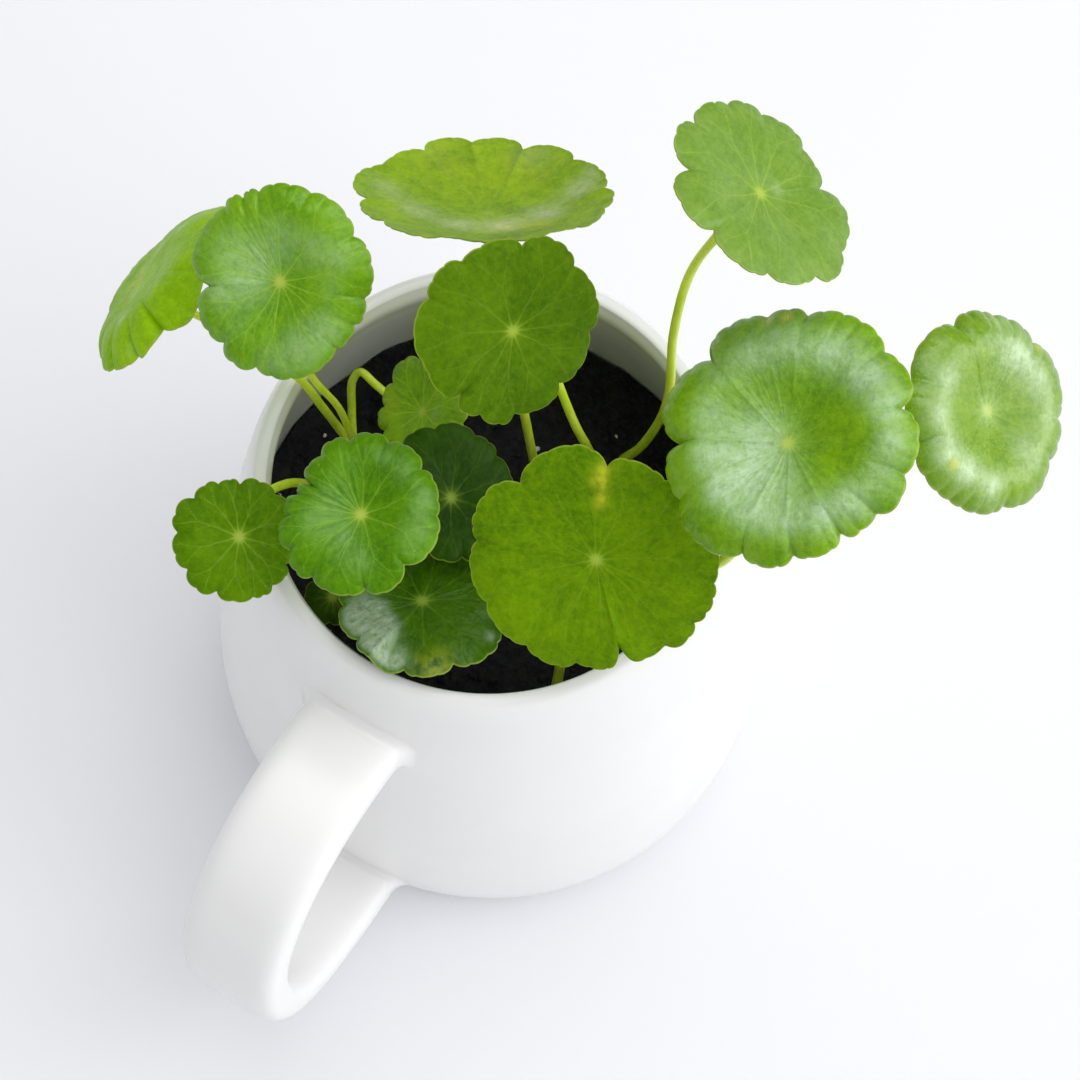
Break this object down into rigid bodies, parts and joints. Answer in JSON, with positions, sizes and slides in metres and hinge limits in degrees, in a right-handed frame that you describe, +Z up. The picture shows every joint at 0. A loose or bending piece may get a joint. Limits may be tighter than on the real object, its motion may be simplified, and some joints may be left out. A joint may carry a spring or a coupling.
{
  "type": "aquatic pennywort in a mug",
  "caption": "Pennywort plant with round scalloped leaves on thin stalks, growing in potting soil in a white ceramic mug with a strap handle.",
  "frame": {"origin": "centre of the mug's flat foot", "axes": "+Z up along the mug's axis; the handle points towards azimuth -119 degrees from +X"},
  "size_m": [0.157, 0.1343, 0.1778],
  "materials": {
    "white_glaze": "glossy glazed ceramic",
    "potting_soil": "damp, granular, matte",
    "leaf_glossy": "glossy living leaf",
    "leaf_matte": "matte living leaf",
    "leaf_dark": "satin living leaf in the shade",
    "stalk_green": "satin living stalk"
  },
  "bodies": {
    "root": {"mug": "white_glaze", "soil": "potting_soil", "leaf_far_left": "leaf_glossy", "leaf_upper_left": "leaf_glossy", "leaf_back": "leaf_matte", "leaf_centre": "leaf_matte", "leaf_upper_right": "leaf_glossy", "leaf_big_right": "leaf_glossy", "leaf_far_right": "leaf_glossy", "leaf_big_front": "leaf_matte", "leaf_left": "leaf_glossy", "leaf_small_left": "leaf_matte", "leaf_young": "leaf_glossy", "leaf_shaded": "leaf_dark", "leaf_low_front": "leaf_dark", "leaf_sprout": "leaf_dark", "stalk_far_left": "stalk_green", "stalk_upper_left": "stalk_green", "stalk_back": "stalk_green", "stalk_centre": "stalk_green", "stalk_upper_right": "stalk_green", "stalk_big_right": "stalk_green", "stalk_far_right": "stalk_green", "stalk_big_front": "stalk_green", "stalk_left": "stalk_green", "stalk_small_left": "stalk_green", "stalk_young": "stalk_green", "stalk_shaded": "stalk_green", "stalk_low_front": "stalk_green", "stalk_sprout": "stalk_green"}
  },
  "joints": []
}
